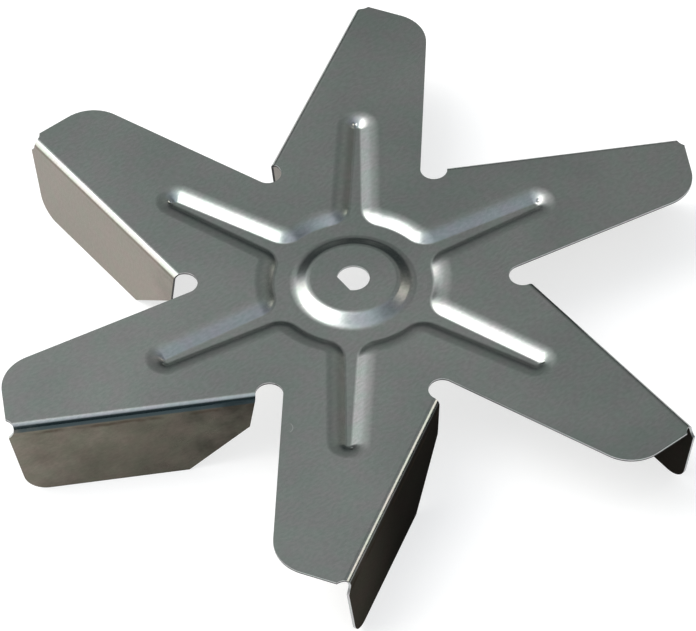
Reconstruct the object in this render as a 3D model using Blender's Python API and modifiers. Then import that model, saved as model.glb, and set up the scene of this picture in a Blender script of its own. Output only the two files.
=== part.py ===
"""Exhaust fan impeller: one steel sheet with six arms, a pressed ring with six ribs, and six folded blades.

Metres, +Z up. The origin is on the shaft axis, level with the lower edges of the blades, and the flat of
the shaft hole faces -X. The sheet's middle surface is made first: the star and the pressing are laid out
flat round the axis, each arm's blade is laid out along its fold, and the walls and blades are then given
their depth. Solidify turns that surface into the sheet.

Two sets of flat coordinates are used. In an arm's own frame the rib runs along x, and the arms repeat
round the axis. Along a fold, "along" runs outward beside the fold line, from the point nearest the shaft
axis, and "across" runs over the fold, from where the flat sheet starts to bend.
"""
import math

import bmesh
import bpy
from mathutils import Matrix, Vector

MM = 0.001

# Sheet and arms
SHEET_THICKNESS = 0.5 * MM
ARM_COUNT = 6
FIRST_RIB_ANGLE = math.radians(-7.6)
OVERALL_HEIGHT = 18.8 * MM

# Folds: the sheet starts to bend this far from the shaft axis, and the blades lean outward a little
FOLD_DISTANCE = 25.15 * MM
FOLD_LEAN = math.radians(20.15)
FOLD_ANGLE = math.radians(89.2)
BEND_INNER_RADIUS = 0.9 * MM

# Plate outline: each arm ends square to its fold, with one large round corner on its free side
TIP_ALONG = 70.3 * MM
TIP_CORNER_RADIUS = 8.0 * MM
FREE_EDGE_FLARE = math.radians(1.26)

# Round reliefs centred on each bend: a hole at its inner end and a shallow notch at its outer end
RELIEF_ALONG = 20.1 * MM
RELIEF_RADIUS = 2.67 * MM
NOTCH_DEPTH = 1.3 * MM
NOTCH_RADIUS = 2.5 * MM
NOTCH_SHIFT = 0.4 * MM

# Blade outline: both ends lean inward, the inner end has a long slanted cut, the outer corner is round
BLADE_END_LEAN = math.radians(10)
BLADE_OVERHANG = 0.4 * MM
BLADE_INNER_END_DEPTH = 8.4 * MM
BLADE_SLANT_LENGTH = 12.1 * MM
BLADE_CORNER_RADIUS = 5.0 * MM

# Pressing: a ring groove round a slightly raised centre disc, and one rib groove along each arm. The shares
# are the parts of a wall's run that the bends at its upper edge and at its foot take
RING_OUTER_RADIUS = 19.4 * MM
RING_DEPTH = 1.08 * MM
GROOVE_WALL_RUN = 4.1 * MM
GROOVE_EDGE_SHARE = 0.78
GROOVE_FOOT_SHARE = 0.17
RIB_REACH = 45.1 * MM
RIB_FLOOR_RADIUS = 0.25 * MM
RIB_TAPER = math.radians(1.8)
RIB_ROOT_FILLET = 0.8 * MM
DISC_RADIUS = 8.3 * MM
DISC_RISE = 0.3 * MM
DISC_WALL_RUN = 4.2 * MM
DISC_EDGE_SHARE = 0.25
DISC_FOOT_SHARE = 0.40

# Shaft hole: round with one flat
SHAFT_HOLE_RADIUS = 3.2 * MM
SHAFT_FLAT_DISTANCE = 2.35 * MM

# Facets
EDGE_BEND_STEPS = 4
FOOT_BEND_STEPS = 2
BEND_STEPS = 6
RIB_END_STEPS = 4
ROOT_FILLET_STEPS = 3
RING_ARC_STEPS = 2
DISC_STEPS = 48
RELIEF_STEPS = 9
NOTCH_STEPS = 3
CORNER_STEPS = 6
SMOOTH_ANGLE = math.radians(30)

# Derived sizes
ARM_PITCH = 2 * math.pi / ARM_COUNT
QUARTER_TURN = math.pi / 2
HALF_SHEET = SHEET_THICKNESS / 2
BEND_RADIUS = BEND_INNER_RADIUS + HALF_SHEET
BEND_LENGTH = BEND_RADIUS * FOLD_ANGLE
PLATE_LEVEL = OVERALL_HEIGHT - HALF_SHEET
RIB_END_RADIUS = RIB_FLOOR_RADIUS + GROOVE_WALL_RUN


def polar(radius, angle):
    return Vector((radius * math.cos(angle), radius * math.sin(angle)))


def angle_of(vector):
    return math.atan2(vector.y, vector.x)


def turned(point, angle):
    return Matrix.Rotation(angle, 2) @ point


def arc(centre, radius, start, end, steps):
    """Points from the start angle to the end angle, both included."""
    return [centre + polar(radius, start + (end - start) * i / steps) for i in range(steps + 1)]


def meeting_point(normal_a, distance_a, normal_b, distance_b):
    """The point that lies at both distances from the origin, each along its own normal."""
    area = normal_a.x * normal_b.y - normal_a.y * normal_b.x
    x = (distance_a * normal_b.y - distance_b * normal_a.y) / area
    y = (distance_b * normal_a.x - distance_a * normal_b.x) / area
    return Vector((x, y))


# Along and across a fold

def fold_frame(point):
    """A flat point given along and across a fold, in its arm's own frame."""
    return turned(Vector((point.x, FOLD_DISTANCE + point.y)), -FOLD_LEAN)


def folded(point):
    """A point given along and across a fold, where folding takes it: in its arm's frame, with its height."""
    bent = min(max(point.y, 0), BEND_LENGTH) / BEND_RADIUS
    beyond = max(point.y - BEND_LENGTH, 0)
    across = min(point.y, 0) + BEND_RADIUS * math.sin(bent) + beyond * math.cos(FOLD_ANGLE)
    drop = BEND_RADIUS * (1 - math.cos(bent)) + beyond * math.sin(FOLD_ANGLE)
    place = fold_frame(Vector((point.x, across)))
    return Vector((place.x, place.y, PLATE_LEVEL - drop))


def across_at_depth(depth):
    """How far across the fold a blade point lies flat, for its depth below the plate's top face."""
    below_bend = depth - HALF_SHEET - BEND_RADIUS * (1 - math.cos(FOLD_ANGLE))
    return BEND_LENGTH + below_bend / math.sin(FOLD_ANGLE)


RELIEF_CENTRE = Vector((RELIEF_ALONG, BEND_LENGTH / 2))
NOTCH_CENTRE = Vector((TIP_ALONG - NOTCH_DEPTH + NOTCH_RADIUS, BEND_LENGTH / 2 + NOTCH_SHIFT))
BLADE_START = RELIEF_CENTRE.x + math.sqrt(RELIEF_RADIUS**2 - RELIEF_CENTRE.y**2)
BLADE_END = TIP_ALONG + BLADE_OVERHANG
INNER_END_ACROSS = across_at_depth(BLADE_INNER_END_DEPTH)
LOWER_EDGE_ACROSS = across_at_depth(OVERALL_HEIGHT - HALF_SHEET * math.cos(FOLD_ANGLE))


def inner_end(across):
    """The blade's inner end, which starts at the relief hole and leans outward."""
    return Vector((BLADE_START + across * math.tan(BLADE_END_LEAN), across))


def notch_edge(across):
    """The notch's edge beside the bend."""
    chord = math.sqrt(NOTCH_RADIUS**2 - (across - NOTCH_CENTRE.y) ** 2)
    return Vector((NOTCH_CENTRE.x - chord, across))


def notch_arc(start, end):
    """The notch from one of its points to another, going down round its inner side."""
    first = angle_of(start - NOTCH_CENTRE) % math.tau
    last = angle_of(end - NOTCH_CENTRE) % math.tau
    return arc(NOTCH_CENTRE, NOTCH_RADIUS, first, last, NOTCH_STEPS)


def tip_notch():
    """The notch on the plate's side, from the arm's tip to the start of the bend."""
    half_chord = math.sqrt(NOTCH_RADIUS**2 - (NOTCH_CENTRE.x - TIP_ALONG) ** 2)
    return notch_arc(Vector((TIP_ALONG, NOTCH_CENTRE.y - half_chord)), notch_edge(0))


def blade_outline():
    """The blade below its bend, from the notch round the outer corner to its inner end."""
    outward = polar(1, BLADE_END_LEAN)
    end_distance = Vector((BLADE_END, 0)).dot(outward)
    gap = end_distance - NOTCH_CENTRE.dot(outward)
    half_chord = math.sqrt(NOTCH_RADIUS**2 - gap**2)
    outer_start = NOTCH_CENTRE + outward * gap + polar(half_chord, BLADE_END_LEAN + QUARTER_TURN)
    corner = meeting_point(
        outward, end_distance - BLADE_CORNER_RADIUS,
        Vector((0, 1)), LOWER_EDGE_ACROSS - BLADE_CORNER_RADIUS,
    )
    slant_top = inner_end(INNER_END_ACROSS)
    slant_foot = Vector((slant_top.x + BLADE_SLANT_LENGTH, LOWER_EDGE_ACROSS))
    return [
        *notch_arc(notch_edge(BEND_LENGTH), outer_start),
        *arc(corner, BLADE_CORNER_RADIUS, BLADE_END_LEAN, QUARTER_TURN, CORNER_STEPS),
        slant_foot,
        slant_top,
        inner_end(BEND_LENGTH),
    ]


# Flat outlines in an arm's own frame

def free_side():
    """The arm's free edge and round corner, from where it leaves the neighbour's relief hole to its tip."""
    outward = polar(1, -FREE_EDGE_FLARE - QUARTER_TURN)
    tip_outward = polar(1, -FOLD_LEAN)
    neighbour_hole = turned(fold_frame(RELIEF_CENTRE), -ARM_PITCH)
    start = neighbour_hole - outward * RELIEF_RADIUS
    corner = meeting_point(
        outward, start.dot(outward) - TIP_CORNER_RADIUS,
        tip_outward, TIP_ALONG - TIP_CORNER_RADIUS,
    )
    return [start, *arc(corner, TIP_CORNER_RADIUS, angle_of(outward), angle_of(tip_outward), CORNER_STEPS)]


def relief_edge():
    """The relief hole's edge from the fold, round its hub side, to the next arm's free edge."""
    centre = fold_frame(RELIEF_CENTRE)
    start = angle_of(fold_frame(inner_end(0)) - centre)
    next_edge = ARM_PITCH + QUARTER_TURN - FREE_EDGE_FLARE
    return arc(centre, RELIEF_RADIUS, start, next_edge - math.tau, RELIEF_STEPS)[:-1]


def rib_side(inset):
    """Half of one rib and half of the ring to the next rib, drawn the inset inside the pressing's edge."""
    end_centre = Vector((RIB_REACH - RIB_END_RADIUS, 0))
    side_normal = polar(1, QUARTER_TURN - RIB_TAPER)
    side_distance = end_centre.dot(side_normal) + RIB_END_RADIUS
    root_distance = side_distance + RIB_ROOT_FILLET
    root_reach = math.sqrt((RING_OUTER_RADIUS + RIB_ROOT_FILLET) ** 2 - root_distance**2)
    root = side_normal * root_distance + polar(root_reach, -RIB_TAPER)
    ring_start = angle_of(root)
    rib_end = arc(end_centre, RIB_END_RADIUS - inset, 0, QUARTER_TURN - RIB_TAPER, RIB_END_STEPS)
    fillet = arc(
        root, RIB_ROOT_FILLET + inset,
        -QUARTER_TURN - RIB_TAPER, ring_start - math.pi, ROOT_FILLET_STEPS,
    )
    ring = arc(Vector((0, 0)), RING_OUTER_RADIUS - inset, ring_start, ARM_PITCH / 2, RING_ARC_STEPS)
    return [*rib_end, *fillet, *ring[1:]]


def pressing_loop(inset):
    """The whole outline of the ring and ribs, drawn the inset inside the pressing's edge."""
    side = rib_side(inset)
    mirrored = [Vector((point.x, -point.y)) for point in reversed(side[1:-1])]
    return round_the_axis([*mirrored, *side])


def circle(radius):
    return [polar(radius, math.tau * i / DISC_STEPS) for i in range(DISC_STEPS)]


def shaft_hole():
    """A circle with one flat, which faces -X."""
    half_flat = math.acos(SHAFT_FLAT_DISTANCE / SHAFT_HOLE_RADIUS)
    return arc(Vector((0, 0)), SHAFT_HOLE_RADIUS, half_flat - math.pi, math.pi - half_flat, DISC_STEPS // 2)


def arm_angle(arm):
    return FIRST_RIB_ANGLE + arm * ARM_PITCH


def round_the_axis(points):
    """The same points in every arm's frame, one arm after another."""
    return [turned(point, arm_angle(arm)) for arm in range(ARM_COUNT) for point in points]


def wall_section(run, drop, edge_share, foot_share):
    """Steps in from a wall's upper edge and down it: a bend, a straight slope and a bend back.

    The shares are the parts of the run that the two bends take. Each bend is a parabola, which at these
    slopes is close to an arc.
    """
    steepest = drop / (run * (1 - (edge_share + foot_share) / 2))
    section = []
    for i in range(EDGE_BEND_STEPS + 1):
        inward = edge_share * run * i / EDGE_BEND_STEPS
        section.append((inward, steepest * inward**2 / (2 * edge_share * run)))
    for i in range(FOOT_BEND_STEPS, -1, -1):
        back = foot_share * run * i / FOOT_BEND_STEPS
        section.append((run - back, drop - steepest * back**2 / (2 * foot_share * run)))
    return section


# The middle surface of the sheet

def add_loop(bm, points, height):
    return [bm.verts.new((point.x, point.y, height)) for point in points]


def join_loops(bm, first, second):
    """One strip of faces between two closed loops of equally many points."""
    for i, vert in enumerate(first):
        before = i - 1
        bm.faces.new((first[before], vert, second[i], second[before]))


def fill_between(bm, outer, inner):
    """Flat faces between a closed outline and a closed hole in it."""
    edges = []
    for loop in (outer, inner):
        for i, vert in enumerate(loop):
            pair = (loop[i - 1], vert)
            edges.append(bm.edges.get(pair) or bm.edges.new(pair))
    bmesh.ops.triangle_fill(bm, use_beauty=True, edges=edges)


def add_wall(bm, section, outline, top):
    """Joined loops down a pressed wall, whose section gives each loop's inset and drop."""
    loops = [add_loop(bm, outline(inset), top - drop) for inset, drop in section]
    for upper, lower in zip(loops, loops[1:]):
        join_loops(bm, upper, lower)
    return loops[0], loops[-1]


def add_pressing(bm):
    """The ring, ribs and centre disc. Returns the loop where the pressing meets the flat plate."""
    groove = wall_section(GROOVE_WALL_RUN, RING_DEPTH, GROOVE_EDGE_SHARE, GROOVE_FOOT_SHARE)
    plate_edge, groove_foot = add_wall(bm, groove, pressing_loop, PLATE_LEVEL)
    disc_level = PLATE_LEVEL + DISC_RISE
    disc_drop = DISC_RISE + RING_DEPTH
    disc_wall = wall_section(DISC_WALL_RUN, disc_drop, DISC_EDGE_SHARE, DISC_FOOT_SHARE)
    disc_edge, disc_foot = add_wall(bm, disc_wall, lambda out: circle(DISC_RADIUS + out), disc_level)
    fill_between(bm, groove_foot, disc_foot)
    fill_between(bm, disc_edge, add_loop(bm, shaft_hole(), disc_level))
    return plate_edge


def add_blade(bm, arm, fold_edge):
    """Bends the sheet over one arm's fold edge, row by row, and ends it with the blade."""
    def place(point):
        bent = folded(point)
        flat = turned(bent.xy, arm_angle(arm))
        return bm.verts.new((flat.x, flat.y, bent.z))

    row = fold_edge
    for step in range(1, BEND_STEPS):
        across = BEND_LENGTH * step / BEND_STEPS
        lower = (place(notch_edge(across)), place(inner_end(across)))
        bm.faces.new((row[0], row[1], lower[1], lower[0]))
        row = lower
    blade = [place(point) for point in blade_outline()]
    bm.faces.new((row[0], row[1], blade[-1], blade[0]))
    bm.faces.new(blade)


def middle_surface():
    """The sheet's middle surface as one open mesh, with its faces turned up."""
    bm = bmesh.new()
    notch = [fold_frame(point) for point in tip_notch()]
    arm_outline = [*free_side(), *notch, *relief_edge()]
    fold_outer = len(free_side()) + len(notch) - 1
    plate = add_loop(bm, round_the_axis(arm_outline), PLATE_LEVEL)
    fill_between(bm, plate, add_pressing(bm))
    for arm in range(ARM_COUNT):
        first = arm * len(arm_outline) + fold_outer
        add_blade(bm, arm, (plate[first], plate[first + 1]))
    bmesh.ops.recalc_face_normals(bm, faces=bm.faces)
    if max(bm.faces, key=lambda face: face.calc_center_median().z).normal.z < 0:
        bmesh.ops.reverse_faces(bm, faces=bm.faces)
    mesh = bpy.data.meshes.new("fan_impeller")
    bm.to_mesh(mesh)
    bm.free()
    return mesh


def steel_material():
    material = bpy.data.materials.new("satin_steel_sheet")
    material.use_nodes = True
    shader = material.node_tree.nodes["Principled BSDF"]
    shader.inputs["Base Color"].default_value = (0.42, 0.43, 0.42, 1)
    shader.inputs["Metallic"].default_value = 1.0
    shader.inputs["Roughness"].default_value = 0.38
    return material


def build():
    for old in list(bpy.data.objects):
        bpy.data.objects.remove(old, do_unlink=True)
    parts = bpy.data.collections.new("exhaust_fan_impeller")
    bpy.context.scene.collection.children.link(parts)
    mesh = middle_surface()
    mesh.materials.append(steel_material())
    mesh.shade_smooth()
    mesh.set_sharp_from_angle(angle=SMOOTH_ANGLE)
    impeller = bpy.data.objects.new("fan_impeller", mesh)
    parts.objects.link(impeller)
    sheet = impeller.modifiers.new("sheet thickness", "SOLIDIFY")
    sheet.thickness = SHEET_THICKNESS
    sheet.offset = 0
    sheet.use_even_offset = True
    sheet.use_quality_normals = True


build()
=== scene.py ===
# %% [markdown]
# # Exhaust fan impeller
#
# The object is a fan wheel for a small exhaust blower: one steel sheet, cut to a star, pressed with a
# ring and six ribs, and folded so that each arm carries a blade. It sits on its blades' lower edges
# here, the flat plate up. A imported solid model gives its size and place. This lesson makes the fine
# surface that the camera sees: the same sheet with rounder walls, a rounder bend and broken edges,
# then its steel, and then the light.

# %% Load the solid model
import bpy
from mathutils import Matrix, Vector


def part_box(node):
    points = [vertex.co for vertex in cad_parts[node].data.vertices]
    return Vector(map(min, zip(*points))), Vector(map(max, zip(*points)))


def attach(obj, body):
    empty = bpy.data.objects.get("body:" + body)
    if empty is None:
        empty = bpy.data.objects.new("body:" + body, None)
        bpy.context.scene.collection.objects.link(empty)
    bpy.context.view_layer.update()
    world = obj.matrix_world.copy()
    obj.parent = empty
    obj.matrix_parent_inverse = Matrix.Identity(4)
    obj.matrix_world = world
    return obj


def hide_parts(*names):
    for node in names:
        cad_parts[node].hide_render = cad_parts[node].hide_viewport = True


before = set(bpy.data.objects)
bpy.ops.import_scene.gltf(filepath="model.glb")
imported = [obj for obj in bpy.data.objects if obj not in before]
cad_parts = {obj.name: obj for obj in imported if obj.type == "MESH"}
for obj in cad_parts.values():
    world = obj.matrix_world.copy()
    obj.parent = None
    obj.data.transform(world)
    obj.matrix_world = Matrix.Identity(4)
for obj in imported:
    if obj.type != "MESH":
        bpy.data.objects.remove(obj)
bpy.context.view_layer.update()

import math

import bmesh
import bpy
from mathutils import Matrix, Vector

MM = 0.001
solid_low, solid_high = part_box("fan_impeller")
print("solid model:", [round(side / MM, 2) for side in solid_high - solid_low], "mm")

# %% [markdown]
# ## The sheet's sizes
#
# Everything on a pressed part follows from a few sizes of its tooling: how thick the sheet is, where
# the fold lines run, how deep the punch goes. They are written once here, and each outline below is
# worked out from them. The height comes from the solid model's box, so that both stand on the same
# floor.

# %% Sizes of the sheet, the folds and the pressing
SHEET = 0.5 * MM
ARMS = 6
FIRST_RIB_ANGLE = math.radians(-7.6)
DISC_RISE = 0.3 * MM
HEIGHT = solid_high.z - solid_low.z - DISC_RISE

FOLD_DISTANCE = 25.15 * MM
FOLD_LEAN = math.radians(20.15)
FOLD_ANGLE = math.radians(89.2)
BEND_INNER_RADIUS = 0.9 * MM

TIP_ALONG = 70.3 * MM
TIP_CORNER_RADIUS = 8.0 * MM
FREE_EDGE_FLARE = math.radians(1.26)
RELIEF_ALONG = 20.1 * MM
RELIEF_RADIUS = 2.67 * MM
NOTCH_DEPTH = 1.3 * MM
NOTCH_RADIUS = 2.5 * MM
NOTCH_SHIFT = 0.4 * MM

BLADE_END_LEAN = math.radians(10)
BLADE_OVERHANG = 0.4 * MM
BLADE_INNER_END_DEPTH = 8.4 * MM
BLADE_SLANT_LENGTH = 12.1 * MM
BLADE_CORNER_RADIUS = 5.0 * MM

RING_OUTER_RADIUS = 19.4 * MM
RING_DEPTH = 1.08 * MM
GROOVE_WALL_RUN = 4.1 * MM
GROOVE_EDGE_SHARE = 0.78
GROOVE_FOOT_SHARE = 0.17
RIB_REACH = 45.1 * MM
RIB_FLOOR_RADIUS = 0.25 * MM
RIB_TAPER = math.radians(1.8)
RIB_ROOT_FILLET = 0.8 * MM
DISC_RADIUS = 8.3 * MM
DISC_WALL_RUN = 4.2 * MM
DISC_EDGE_SHARE = 0.25
DISC_FOOT_SHARE = 0.40
SHAFT_HOLE_RADIUS = 3.2 * MM
SHAFT_FLAT_DISTANCE = 2.35 * MM

PITCH = math.tau / ARMS
QUARTER = math.pi / 2
HALF_SHEET = SHEET / 2
BEND_RADIUS = BEND_INNER_RADIUS + HALF_SHEET
BEND_LENGTH = BEND_RADIUS * FOLD_ANGLE
PLATE_LEVEL = solid_low.z + HEIGHT - HALF_SHEET
print("plate's middle level:", round(PLATE_LEVEL / MM, 3), "mm")
print("metal in each bend:", round(BEND_LENGTH / MM, 3), "mm long")

# %% [markdown]
# ## How fine the facets are
#
# A shiny sheet shows every facet as a kink in its reflections, so the round stretches here have about
# two to three times as many steps as the solid model. Flat stretches stay single faces: they need no
# more.

# %% Facet counts
EDGE_BEND_STEPS = 8
FOOT_BEND_STEPS = 6
BEND_STEPS = 10
RIB_END_STEPS = 14
ROOT_FILLET_STEPS = 8
RING_ARC_STEPS = 6
HUB_STEPS_PER_ARM = 16
RELIEF_STEPS = 14
NOTCH_STEPS = 8
CORNER_STEPS = 16
ROUNDING_STEPS = 3
print("steps from a wall's top to its foot:", EDGE_BEND_STEPS + FOOT_BEND_STEPS + 1)

# %% [markdown]
# ## Flat geometry helpers
#
# An arm is drawn in its own frame, with its rib along X. A flap is drawn beside its fold line: "along"
# runs outward next to the fold, and "across" runs over it. The same few helpers draw every outline.

# %% Arcs and turned points
def polar(radius, angle):
    return Vector((radius * math.cos(angle), radius * math.sin(angle)))


def angle_of(vector):
    return math.atan2(vector.y, vector.x)


def turned(point, angle):
    return Matrix.Rotation(angle, 2) @ point


def arc(centre, radius, start, end, steps):
    return [centre + polar(radius, start + (end - start) * i / steps) for i in range(steps + 1)]


def meeting_point(normal_a, distance_a, normal_b, distance_b):
    area = normal_a.x * normal_b.y - normal_a.y * normal_b.x
    x = (distance_a * normal_b.y - distance_b * normal_a.y) / area
    y = (distance_b * normal_a.x - distance_a * normal_b.x) / area
    return Vector((x, y))


print("each arm takes up", round(math.degrees(PITCH)), "degrees")

# %% Beside the fold
def fold_frame(point):
    return turned(Vector((point.x, FOLD_DISTANCE + point.y)), -FOLD_LEAN)


def folded(point):
    """A flat point beside the fold, after the flap is bent down."""
    bent = min(max(point.y, 0), BEND_LENGTH) / BEND_RADIUS
    beyond = max(point.y - BEND_LENGTH, 0)
    across = min(point.y, 0) + BEND_RADIUS * math.sin(bent) + beyond * math.cos(FOLD_ANGLE)
    drop = BEND_RADIUS * (1 - math.cos(bent)) + beyond * math.sin(FOLD_ANGLE)
    place = fold_frame(Vector((point.x, across)))
    return Vector((place.x, place.y, PLATE_LEVEL - drop))


def across_at_depth(depth):
    below_bend = depth - HALF_SHEET - BEND_RADIUS * (1 - math.cos(FOLD_ANGLE))
    return BEND_LENGTH + below_bend / math.sin(FOLD_ANGLE)


print("the bend ends", round((PLATE_LEVEL - folded(Vector((0, BEND_LENGTH))).z) / MM, 2), "mm down")

# %% [markdown]
# ## The flap that becomes a blade
#
# On the real part a round hole is punched at the inner end of each fold, and a shallow round notch at
# its outer end, so that the bend doesn't tear. The flap between them has a leaning inner end with a
# long slanted cut, a straight lower edge and one round corner.

# %% The blade's outline
relief_centre = Vector((RELIEF_ALONG, BEND_LENGTH / 2))
notch_centre = Vector((TIP_ALONG - NOTCH_DEPTH + NOTCH_RADIUS, BEND_LENGTH / 2 + NOTCH_SHIFT))
blade_start = relief_centre.x + math.sqrt(RELIEF_RADIUS**2 - relief_centre.y**2)
blade_end = TIP_ALONG + BLADE_OVERHANG
lower_edge = across_at_depth(HEIGHT - HALF_SHEET * math.cos(FOLD_ANGLE))


def inner_end(across):
    return Vector((blade_start + across * math.tan(BLADE_END_LEAN), across))


def notch_edge(across):
    chord = math.sqrt(NOTCH_RADIUS**2 - (across - notch_centre.y) ** 2)
    return Vector((notch_centre.x - chord, across))


def notch_arc(start, end):
    first = angle_of(start - notch_centre) % math.tau
    last = angle_of(end - notch_centre) % math.tau
    return arc(notch_centre, NOTCH_RADIUS, first, last, NOTCH_STEPS)


def tip_notch():
    half_chord = math.sqrt(NOTCH_RADIUS**2 - (notch_centre.x - TIP_ALONG) ** 2)
    return notch_arc(Vector((TIP_ALONG, notch_centre.y - half_chord)), notch_edge(0))


def blade_outline():
    outward = polar(1, BLADE_END_LEAN)
    end_distance = Vector((blade_end, 0)).dot(outward)
    gap = end_distance - notch_centre.dot(outward)
    half_chord = math.sqrt(NOTCH_RADIUS**2 - gap**2)
    outer_start = notch_centre + outward * gap + polar(half_chord, BLADE_END_LEAN + QUARTER)
    corner = meeting_point(
        outward, end_distance - BLADE_CORNER_RADIUS,
        Vector((0, 1)), lower_edge - BLADE_CORNER_RADIUS,
    )
    slant_top = inner_end(across_at_depth(BLADE_INNER_END_DEPTH))
    slant_foot = Vector((slant_top.x + BLADE_SLANT_LENGTH, lower_edge))
    return [
        *notch_arc(notch_edge(BEND_LENGTH), outer_start),
        *arc(corner, BLADE_CORNER_RADIUS, BLADE_END_LEAN, QUARTER, CORNER_STEPS),
        slant_foot,
        slant_top,
        inner_end(BEND_LENGTH),
    ]


print("blade:", round((blade_end - blade_start) / MM, 1), "mm long")
print("flap:", round(lower_edge / MM, 1), "mm from the fold to its lower edge")

# %% [markdown]
# ## One arm's share of the plate
#
# The star repeats every sixth of a turn, so only one arm is drawn, between two rays half a pitch
# either side of its rib. Its edge runs from the neighbour's relief hole, out along the free edge,
# round the big corner, over the tip and the notch, and back round its own relief hole.

# %% The arm's edge
HALF_PITCH = PITCH / 2
hole = fold_frame(relief_centre)
ray = polar(1, HALF_PITCH)
off_ray = hole - ray * hole.dot(ray)
ray_meets_hole = ray * (hole.dot(ray) - math.sqrt(RELIEF_RADIUS**2 - off_ray.length_squared))
ray_angle = angle_of(ray_meets_hole - hole)
free_outward = polar(1, -FREE_EDGE_FLARE - QUARTER)
free_start_angle = angle_of(-free_outward) + PITCH - math.tau


def free_side():
    """From the ray, round the neighbour's relief hole, along the free edge and round the corner."""
    tip_outward = polar(1, -FOLD_LEAN)
    neighbour_hole = turned(hole, -PITCH)
    start = neighbour_hole - free_outward * RELIEF_RADIUS
    corner = meeting_point(
        free_outward, start.dot(free_outward) - TIP_CORNER_RADIUS,
        tip_outward, TIP_ALONG - TIP_CORNER_RADIUS,
    )
    round_hole = arc(
        neighbour_hole, RELIEF_RADIUS,
        ray_angle - PITCH, free_start_angle - PITCH, RELIEF_STEPS,
    )
    round_corner = arc(
        corner, TIP_CORNER_RADIUS,
        angle_of(free_outward), angle_of(tip_outward), CORNER_STEPS,
    )
    return [*round_hole, *round_corner]


def relief_edge():
    """From the fold, round the arm's own relief hole, to the other ray."""
    start = angle_of(fold_frame(inner_end(0)) - hole)
    return arc(hole, RELIEF_RADIUS, start, ray_angle, RELIEF_STEPS)


print("relief hole at", [round(side / MM, 2) for side in hole], "mm in the arm's frame")

# %% [markdown]
# ## The pressing
#
# The ring and ribs are one shallow groove with soft walls. Its plan is drawn once, as lines and arcs
# that touch without kinks, and drawn again further in for each step down the wall. The wall's section
# is a wide bend where the sheet was drawn over the die's edge, a short slope, and a tighter bend under
# the punch.

# %% The wall's section
def wall_section(run, drop, edge_share, foot_share):
    """Steps in from a wall's upper edge and down it: a bend, a straight slope and a bend back.

    The shares are the parts of the run that the two bends take. Each bend is a parabola, which at these
    slopes is close to an arc.
    """
    steepest = drop / (run * (1 - (edge_share + foot_share) / 2))
    section = []
    for i in range(EDGE_BEND_STEPS + 1):
        inward = edge_share * run * i / EDGE_BEND_STEPS
        section.append((inward, steepest * inward**2 / (2 * edge_share * run)))
    for i in range(FOOT_BEND_STEPS, -1, -1):
        back = foot_share * run * i / FOOT_BEND_STEPS
        section.append((run - back, drop - steepest * back**2 / (2 * foot_share * run)))
    return section


groove_wall = wall_section(GROOVE_WALL_RUN, RING_DEPTH, GROOVE_EDGE_SHARE, GROOVE_FOOT_SHARE)
disc_wall = wall_section(DISC_WALL_RUN, DISC_RISE + RING_DEPTH, DISC_EDGE_SHARE, DISC_FOOT_SHARE)
RIB_END_RADIUS = RIB_FLOOR_RADIUS + GROOVE_WALL_RUN
print("the groove's wall is", round(GROOVE_WALL_RUN / MM, 2), "mm wide")


# %% The groove's plan
def rib_side(inset):
    end_centre = Vector((RIB_REACH - RIB_END_RADIUS, 0))
    side_normal = polar(1, QUARTER - RIB_TAPER)
    side_distance = end_centre.dot(side_normal) + RIB_END_RADIUS
    root_distance = side_distance + RIB_ROOT_FILLET
    root_reach = math.sqrt((RING_OUTER_RADIUS + RIB_ROOT_FILLET) ** 2 - root_distance**2)
    root = side_normal * root_distance + polar(root_reach, -RIB_TAPER)
    ring_start = angle_of(root)
    rib_end = arc(end_centre, RIB_END_RADIUS - inset, 0, QUARTER - RIB_TAPER, RIB_END_STEPS)
    fillet = arc(
        root, RIB_ROOT_FILLET + inset,
        -QUARTER - RIB_TAPER, ring_start - math.pi, ROOT_FILLET_STEPS,
    )
    ring = arc(Vector((0, 0)), RING_OUTER_RADIUS - inset, ring_start, HALF_PITCH, RING_ARC_STEPS)
    return [*rib_end, *fillet, *ring[1:]]


def groove_outline(inset):
    """The arm's share of the groove's edge, from one ray round the rib's end to the other."""
    side = rib_side(inset)
    return [*[Vector((point.x, -point.y)) for point in reversed(side[1:])], *side]


print("rib's width near the ring:", round(2 * RIB_END_RADIUS / MM, 1), "mm and a little more")

# %% [markdown]
# ## Building one arm as a middle surface
#
# A sheet is easiest to make as a surface without thickness, halfway through the metal. Loops are
# joined by strips of four-sided faces, and each flat stretch is one many-sided face, so that it stays
# truly flat.

# %% Loops, strips and the arm's mesh
def placed(name, data):
    """A new object at the origin."""
    thing = bpy.data.objects.new(name, data)
    bpy.context.scene.collection.objects.link(thing)
    return thing


def add_loop(bm, points, height):
    return [bm.verts.new((point.x, point.y, height)) for point in points]


def join_rows(bm, first, second):
    for i in range(len(first) - 1):
        bm.faces.new((first[i], first[i + 1], second[i + 1], second[i]))


def finish_mesh(bm, name):
    """Normals up on the flat parts, whichever way the loops ran."""
    bmesh.ops.recalc_face_normals(bm, faces=bm.faces)
    if max(bm.faces, key=lambda face: face.calc_center_median().z).normal.z < 0:
        bmesh.ops.reverse_faces(bm, faces=bm.faces)
    mesh = bpy.data.meshes.new(name)
    bm.to_mesh(mesh)
    bm.free()
    return mesh


def add_blade(bm, fold_edge):
    row = fold_edge
    for step in range(1, BEND_STEPS):
        across = BEND_LENGTH * step / BEND_STEPS
        lower = (bm.verts.new(folded(notch_edge(across))), bm.verts.new(folded(inner_end(across))))
        bm.faces.new((row[0], row[1], lower[1], lower[0]))
        row = lower
    blade = [bm.verts.new(folded(point)) for point in blade_outline()]
    bm.faces.new((row[0], row[1], blade[-1], blade[0]))
    bm.faces.new(blade)


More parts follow.
